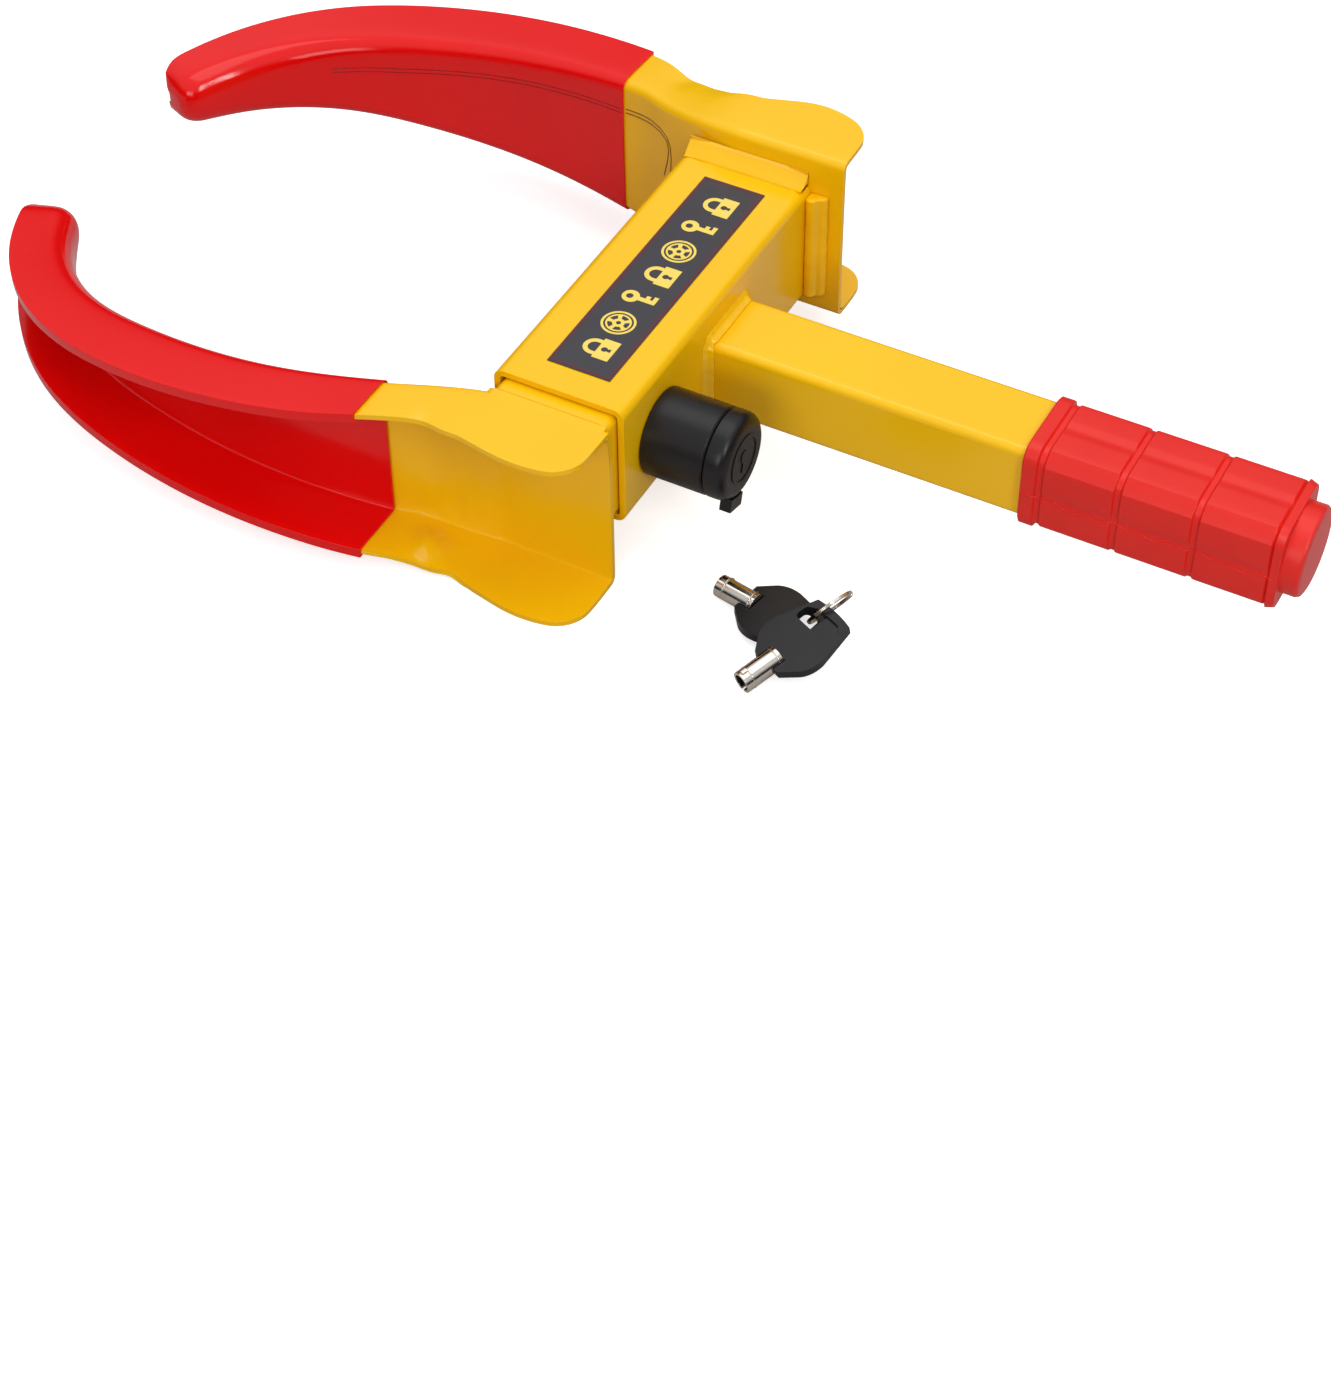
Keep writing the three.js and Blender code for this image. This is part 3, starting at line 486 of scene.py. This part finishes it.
# From the rim inwards: a flat, a groove down, a flat, a step up, a flat, and a sunk middle.
for inwards, rise in ((3.2, 0.0), (0.5, -0.5), (1.6, 0.0), (0.5, 0.4), (5.5, 0.0), (0.4, -0.6)):
    bpy.ops.mesh.inset(thickness=inwards * millimetre, depth=rise * millimetre)
bpy.ops.object.mode_set(mode="OBJECT")
fitted(grip, "body", "grip_rubber", "handle_grip")
# The mould's parting line wavers along both sides of the sleeve.
line_start, line_step, line_level = 170.6, 3.1, -5.6
for side, beside, inwards in (("front", -40, (0, 1, 0)), ("back", 50, (0, -1, 0))):
    wavering = [(line_start + step * line_step, beside,
                 line_level + 0.5 * math.sin(step * 1.9) + 0.4 * math.sin(step * 0.7))
                for step in range(30)]
    hugging_line(f"mould_line_{side}", grip, red_rubber, 0.3 * millimetre, wavering, inwards,
                 "body", "grip_rubber")

# Lock: a black ABS sleeve over a steel housing, and a pull-off dust cap with a domed rim.


def moulded_abs(name, deep, pale):
    """Black ABS: semi-gloss, faintly brown, with a fine spark-eroded grain."""
    material, tree, shader, place = new_material(name, IOR=1.53, Specular_IOR_Level=0.3)
    cloud = add_node(tree, "ShaderNodeTexNoise", {"Scale": 1 / (12 * millimetre), "Detail": 3.0},
                     {"Vector": place})
    body = add_node(tree, "ShaderNodeMix", {"data_type": "RGBA", 6: linear(deep), 7: linear(pale)},
                    {0: cloud.outputs["Fac"]})
    tree.links.new(body.outputs[2], shader.inputs["Base Color"])
    gloss = add_node(tree, "ShaderNodeMapRange", {"To Min": 0.26, "To Max": 0.4},
                     {"Value": cloud.outputs["Fac"]})
    tree.links.new(gloss.outputs[0], shader.inputs["Roughness"])
    grain = add_node(tree, "ShaderNodeTexNoise", {"Scale": 1 / (0.5 * millimetre), "Detail": 2.0},
                     {"Vector": place})
    bump = add_node(tree, "ShaderNodeBump", {"Strength": 0.3, "Distance": 0.00005},
                    {"Height": grain.outputs["Fac"]})
    tree.links.new(bump.outputs["Normal"], shader.inputs["Normal"])
    return material


black_abs = moulded_abs("black_abs", "110E0F", "171415")
cover = from_solid("lock_cover", "lock_sleeve", black_abs)
eased(cover, 0.12 * millimetre)
fitted(cover, "body", "black_plastic", "lock_cover")
cap = from_solid("dust_cap", "lock_cap", black_abs)
eased(cap, 0.14 * millimetre)
fitted(cap, "cap", "black_plastic", "dust_cap")


def flat_print(name, outlines, thick, material, frame_matrix):
    """A flat figure of closed outlines, where an outline inside another one is a hole, made
    solid, and laid on a face by a matrix from the figure's own plane."""
    figure = bpy.data.curves.new(name, "CURVE")
    figure.dimensions, figure.fill_mode, figure.extrude = "2D", "BOTH", thick / 2
    for outline in outlines:
        spline = figure.splines.new("POLY")
        spline.points.add(len(outline) - 1)
        for point, (across, up) in zip(spline.points, outline):
            point.co = (across * millimetre, up * millimetre, 0.0, 1.0)
        spline.use_cyclic_u = True
    figure.materials.append(material)
    print_piece = bpy.data.objects.new(name, figure)
    bpy.context.scene.collection.objects.link(print_piece)
    alone(print_piece)
    bpy.ops.object.convert(target="MESH")
    print_piece = bpy.context.object
    print_piece.matrix_world = frame_matrix @ Matrix.Translation((0, 0, thick / 2))
    bpy.ops.object.transform_apply(location=True, rotation=True, scale=True)
    bpy.ops.object.mode_set(mode="EDIT")
    bpy.ops.mesh.select_all(action="SELECT")
    bpy.ops.mesh.remove_doubles(threshold=0.000002)
    bpy.ops.mesh.normals_make_consistent(inside=False)
    bpy.ops.object.mode_set(mode="OBJECT")
    return print_piece


def arc(across, up, radius, first, last, steps=20):
    """Points on an arc, by degrees."""
    return [(across + radius * math.cos(math.radians(first + (last - first) * step / steps)),
             up + radius * math.sin(math.radians(first + (last - first) * step / steps)))
            for step in range(steps + 1)]


def disc(across, up, radius, steps=32):
    return arc(across, up, radius, 0, 360 - 360 / steps, steps - 1)


# Top bead: one wide fillet between the body's top and the fixed claw, laid in overlapping steps
# and sprayed with the body. Its section is drawn across the bead, and drawn out along it.
fillet = [(0.0, 0.0), (6.2, 0.0), (5.9, 0.6), (4.9, 1.5), (3.6, 2.5), (2.3, 3.6), (1.1, 4.6),
          (0.0, 5.0)]
bead_start, bead_length = 1.2 * millimetre, 47.6 * millimetre
bead_low, bead_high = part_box("back_weld_top")
across_body = Matrix.Translation((bead_start, bead_high.y, bead_low.z)) @ Matrix(
    ((0, 0, 1, 0), (-1, 0, 0, 0), (0, 1, 0, 0), (0, 0, 0, 1)))
top_bead = flat_print("top_bead", [fillet], bead_length, yellow_enamel, across_body)
alone(top_bead)
bpy.ops.object.mode_set(mode="EDIT")
bpy.ops.mesh.select_all(action="SELECT")
bpy.ops.mesh.subdivide(number_cuts=5)
bpy.ops.object.mode_set(mode="OBJECT")
seated, end_drop = 0.3 * millimetre, 1.6 * millimetre
end_taper, first_end, last_end = 2.5, -1.8, 45.8
for vertex in top_bead.data.vertices:
    along = (vertex.co.x - bead_low.x) / millimetre
    lift = (0.16 * math.sin(along * 1.6) + 0.14 * math.sin(along * 0.63 + 1.0)) * millimetre
    near_an_end = max(0.0, 1 - (along - first_end) / end_taper, 1 - (last_end - along) / end_taper)
    lift -= end_drop * near_an_end ** 2
    if vertex.co.z > bead_low.z + seated and vertex.co.y < bead_high.y - seated:
        vertex.co += Vector((0, -0.5, 0.6)) * lift
bpy.ops.object.shade_smooth_by_angle(angle=math.radians(50))
fitted(top_bead, "body", "yellow_paint", "back_weld_top")

# Keyhole sign: raised in the cap's black ABS face by the mould, inside a thin raised ring. The
# mould cuts both.
keyhole = arc(0, 1.2, 2.4, -60, 240) + [(-2.2, -4.6), (2.2, -4.6)]
ring_outside, ring_inside = disc(0, 0, 9.2), disc(0, 0, 8.3)
cap_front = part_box("dust_cap")[1].x
lock_axis = Vector((0.0, -44.8 * millimetre, -1.8 * millimetre))
cap_face = Matrix.Translation((cap_front, lock_axis.y, lock_axis.z)) @ Matrix(
    ((0, 0, 1, 0), (1, 0, 0, 0), (0, 1, 0, 0), (0, 0, 0, 1)))
sign = flat_print("cap_sign", [ring_outside, ring_inside, keyhole], 0.35 * millimetre, black_abs,
                  cap_face)
fitted(sign, "cap", "black_plastic")

# Label: a satin vinyl plate stuck along the body, near black, with a fine dark red frame and a
# row of plain signs in pale yellow ink: a padlock, a wheel and a key in turn.
vinyl, tree, shader, place = new_material("black_vinyl", IOR=1.46)
scuff = add_node(tree, "ShaderNodeTexNoise", {"Scale": 1 / (7 * millimetre), "Detail": 4.0},
                 {"Vector": place})
shade = add_node(tree, "ShaderNodeMix",
                 {"data_type": "RGBA", 6: linear("343136"), 7: linear("3D3A3F")},
                 {0: scuff.outputs["Fac"]})
tree.links.new(shade.outputs[2], shader.inputs["Base Color"])
gloss = add_node(tree, "ShaderNodeMapRange", {"To Min": 0.38, "To Max": 0.52},
                 {"Value": scuff.outputs["Fac"]})
tree.links.new(gloss.outputs[0], shader.inputs["Roughness"])
plate = from_solid("body_label", "label_plate", vinyl)
eased(plate, 0.08 * millimetre)
fitted(plate, "body", "label", "body_label")


def ink(name, thin, full):
    """Screen ink: matt, a little thinner in places, so that the plate shows through."""
    material, tree, shader, place = new_material(name, Roughness=0.55)
    cover = add_node(tree, "ShaderNodeTexNoise", {"Scale": 1 / (2.5 * millimetre), "Detail": 3.0},
                     {"Vector": place})
    colour = add_node(tree, "ShaderNodeMix",
                      {"data_type": "RGBA", 6: linear(thin), 7: linear(full)},
                      {0: cover.outputs["Fac"]})
    tree.links.new(colour.outputs[2], shader.inputs["Base Color"])
    return material


yellow_ink = ink("pale_yellow_ink", "F2CF52", "F8DC6C")
red_ink = ink("dark_red_ink", "5E1A22", "6E2028")
plate_low, plate_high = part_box("body_label")
plate_middle = (plate_low + plate_high) / 2
# On the plate, "across" runs along +Y and "up" towards the tyre.
on_plate = Matrix.Translation((plate_middle.x, plate_middle.y, plate_high.z)) @ Matrix(
    ((0, -1, 0, 0), (1, 0, 0, 0), (0, 0, 1, 0), (0, 0, 0, 1)))
half_long, half_wide, frame_line, ink_thickness = 56.6, 11.5, 0.7, 0.06 * millimetre


def rectangle(left, low, right, high):
    return [(left, low), (right, low), (right, high), (left, high)]


frame_outlines = [rectangle(-half_long, -half_wide, half_long, half_wide),
                  rectangle(-half_long + frame_line, -half_wide + frame_line,
                            half_long - frame_line, half_wide - frame_line)]
border = flat_print("label_frame", frame_outlines, ink_thickness, red_ink, on_plate)
fitted(border, "body", "label")


def padlock_sign(at):
    """The outlines of a padlock, in two layers: the shackle, and the body with its keyhole."""
    shackle = (arc(at, 1.2, 4.1, 0, 180) + [(at - 4.1, -0.4), (at - 2.4, -0.4)]
               + arc(at, 1.2, 2.4, 180, 0) + [(at + 2.4, -0.4), (at + 4.1, -0.4)])
    hole = arc(at, -2.6, 1.2, -60, 240) + [(at - 0.9, -5.0), (at + 0.9, -5.0)]
    return [[shackle], [rectangle(at - 5.2, -6.4, at + 5.2, -0.2), hole]]


def wheel_sign(at):
    """The outlines of a wheel in one layer: tyre, rim, and the gaps between five spokes."""
    gaps = []
    for spoke in range(5):
        first = spoke * 72 + 102
        gaps.append(arc(at, 0, 3.9, first, first + 48, 6)
                    + arc(at, 0, 2.2, first + 44, first + 4, 4))
    return [[disc(at, 0, 6.2), disc(at, 0, 5.3), disc(at, 0, 4.6), *gaps, disc(at, 0, 0.9)]]


def key_sign(at):
    """The outlines of a key, in two layers: the bow with its hole, and the blade."""
    blade = [(at - 1.0, 1.0), (at - 1.0, -6.3), (at + 3.2, -6.3), (at + 3.2, -4.7),
             (at + 1.0, -4.7), (at + 1.0, -3.6), (at + 2.6, -3.6), (at + 2.6, -2.0),
             (at + 1.0, -2.0), (at + 1.0, 1.0)]
    return [[disc(at, 3.2, 3.2), disc(at, 3.6, 1.3)], [blade]]


# Each layer is a hair thicker than the one before, so that no two faces lie in one plane.
sign_count, sign_pitch, layer_rise = 7, 14.6, 0.02 * millimetre
for number in range(sign_count):
    drawn = (padlock_sign, wheel_sign, key_sign)[number % 3]((number - 3) * sign_pitch)
    for layer, outlines in enumerate(drawn):
        figure = flat_print(f"label_sign_{number}_{layer}", outlines,
                            ink_thickness + layer_rise * layer, yellow_ink, on_plate)
        fitted(figure, "body", "label")

# Keys: turned and nickel plated tubular barrels with two rolled collars, set in moulded black ABS
# bows. A thin web closes the part of each bow's slot that the ring doesn't need.
nickel_plate, tree, shader, place = new_material("nickel_plate", Metallic=1.0)
haze = add_node(tree, "ShaderNodeTexNoise", {"Scale": 1 / (1.5 * millimetre), "Detail": 3.0},
                {"Vector": place})
tone = add_node(tree, "ShaderNodeMix",
                {"data_type": "RGBA", 6: linear("C9BFB2"), 7: linear("DDD5CA")},
                {0: haze.outputs["Fac"]})
tree.links.new(tone.outputs[2], shader.inputs["Base Color"])
gloss = add_node(tree, "ShaderNodeMapRange", {"To Min": 0.08, "To Max": 0.22},
                 {"Value": haze.outputs["Fac"]})
tree.links.new(gloss.outputs[0], shader.inputs["Roughness"])
for key, body, heading, pitch in (("a", "keys", 169, 0), ("b", "key_b", -115, 10.7)):
    bow = from_solid(f"key_{key}_bow", f"bow_{key}", black_abs)
    eased(bow, 0.45 * millimetre, angle=35, steps=3)
    fitted(bow, body, "black_plastic", f"key_{key}_bow")
    barrel = from_solid(f"key_{key}_barrel", f"barrel_{key}", nickel_plate)
    eased(barrel, 0.15 * millimetre)
    fitted(barrel, body, "nickel", f"key_{key}_barrel")
    towards = Vector((math.cos(math.radians(heading)) * math.cos(math.radians(pitch)),
                      math.sin(math.radians(heading)) * math.cos(math.radians(pitch)),
                      -math.sin(math.radians(pitch))))
    low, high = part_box(f"key_{key}_barrel")
    for number, along in enumerate((-6.4, 4.6)):
        bpy.ops.object.select_all(action="DESELECT")
        bpy.ops.mesh.primitive_torus_add(
            location=(low + high) / 2 + towards * along * millimetre,
            rotation=towards.to_track_quat("Z", "Y").to_euler(),
            major_segments=40, minor_segments=10,
            major_radius=3.95 * millimetre, minor_radius=0.3 * millimetre)
        collar = bpy.context.object
        collar.name = f"collar_{key}_{number}"
        bpy.ops.object.transform_apply(location=True, rotation=True, scale=True)
        bpy.ops.object.shade_smooth()
        collar.data.materials.append(nickel_plate)
        fitted(collar, body, "nickel")
    across_key = Vector((0, 0, 1)).cross(towards).normalized()
    key_axes = Matrix((towards, across_key, towards.cross(across_key))).transposed().to_4x4()
    back_from_barrel, to_the_side = towards * -26.0, across_key * 3.95
    slot_place = (low + high) / 2 + (back_from_barrel + to_the_side) * millimetre
    bpy.ops.mesh.primitive_cube_add(size=1)
    web = bpy.context.object
    web.name = f"bow_web_{key}"
    web.data.materials.append(black_abs)
    web_long, web_wide, web_thick = 8.8 * millimetre, 9.9 * millimetre, 1.4 * millimetre
    web.matrix_world = Matrix.Translation(slot_place) @ key_axes @ Matrix.Diagonal(
        (web_long, web_wide, web_thick, 1.0))
    alone(web)
    bpy.ops.object.transform_apply(location=True, rotation=True, scale=True)
    eased(web, 0.25 * millimetre)
    fitted(web, body, "black_plastic")

# Split ring: spring wire wound twice round, flat against itself, and nickel plated. It leans on
# the floor and runs through the slots of both bows.
ring_low, ring_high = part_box("key_ring")
ring_middle = (ring_low + ring_high) / 2
ring_heading, ring_lean = math.radians(68), math.radians(30)
ring_turn = (Matrix.Rotation(ring_heading, 4, "Z")
             @ Matrix.Rotation(math.pi / 2 + ring_lean, 4, "X"))
ring_radius, wire_radius, turns, steps = 8.9, 0.46, 2.05, 120
wire = bpy.data.curves.new("split_ring", "CURVE")
wire.dimensions, wire.bevel_depth, wire.bevel_resolution = "3D", wire_radius * millimetre, 3
wire.use_fill_caps = True
coil = wire.splines.new("POLY")
coil.points.add(steps)
for step, point in enumerate(coil.points):
    turn = step / steps * turns
    rise = (turn / turns - 0.5) * 2 * wire_radius * 1.05
    angle = turn * 2 * math.pi
    on_coil = Vector((ring_radius * math.cos(angle), ring_radius * math.sin(angle), rise))
    point.co = (*(ring_middle + ring_turn.to_3x3() @ (on_coil * millimetre)), 1.0)
wire.materials.append(nickel_plate)
split_ring = bpy.data.objects.new("split_ring", wire)
bpy.context.scene.collection.objects.link(split_ring)
alone(split_ring)
bpy.ops.object.convert(target="MESH")
split_ring = bpy.context.object
bpy.ops.object.shade_smooth()
fitted(split_ring, "keys", "nickel", "key_ring")

# Lock works: zinc plated steel housing, retainer, plunger, bolt and stop pin, a nickel core and
# a plastic plug in the sliding tube. They show when the cap is off or the slide is drawn.
zinc_plate, tree, shader, place = new_material("zinc_plate", Metallic=1.0)
crystal = add_node(tree, "ShaderNodeTexVoronoi", {"Scale": 1 / (1.2 * millimetre)},
                   {"Vector": place})
tone = add_node(tree, "ShaderNodeMix",
                {"data_type": "RGBA", 6: linear("8F9496"), 7: linear("A9ADAF")},
                {0: crystal.outputs["Distance"]})
tree.links.new(tone.outputs[2], shader.inputs["Base Color"])
gloss = add_node(tree, "ShaderNodeMapRange", {"To Min": 0.3, "To Max": 0.45},
                 {"Value": crystal.outputs["Distance"]})
tree.links.new(gloss.outputs[0], shader.inputs["Roughness"])
for node, name, body, slot, material in (
        ("lock_housing", "housing_sleeve", "body", "zinc", zinc_plate),
        ("lock_retainer", "retaining_ring", "body", "zinc", zinc_plate),
        ("lock_plunger", "push_barrel", "plunger", "zinc", zinc_plate),
        ("lock_core", "turning_core", "core", "nickel", nickel_plate),
        ("lock_bolt", "steel_bolt", "plunger", "zinc", zinc_plate),
        ("stop_pin", "stop_screw", "body", "zinc", zinc_plate),
        ("slide_end_plug", "end_plug", "slide", "black_plastic", black_abs)):
    part = from_solid(node, name, material)
    eased(part, 0.15 * millimetre)
    fitted(part, body, slot, node)

# Bolt spring: round steel wire wound to a coil and zinc plated, loose on the barrel.
spring = from_solid("bolt_spring", "coil_spring", zinc_plate)
alone(spring)
bpy.ops.object.shade_smooth()
fitted(spring, "body", "zinc", "bolt_spring")
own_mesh(spring)
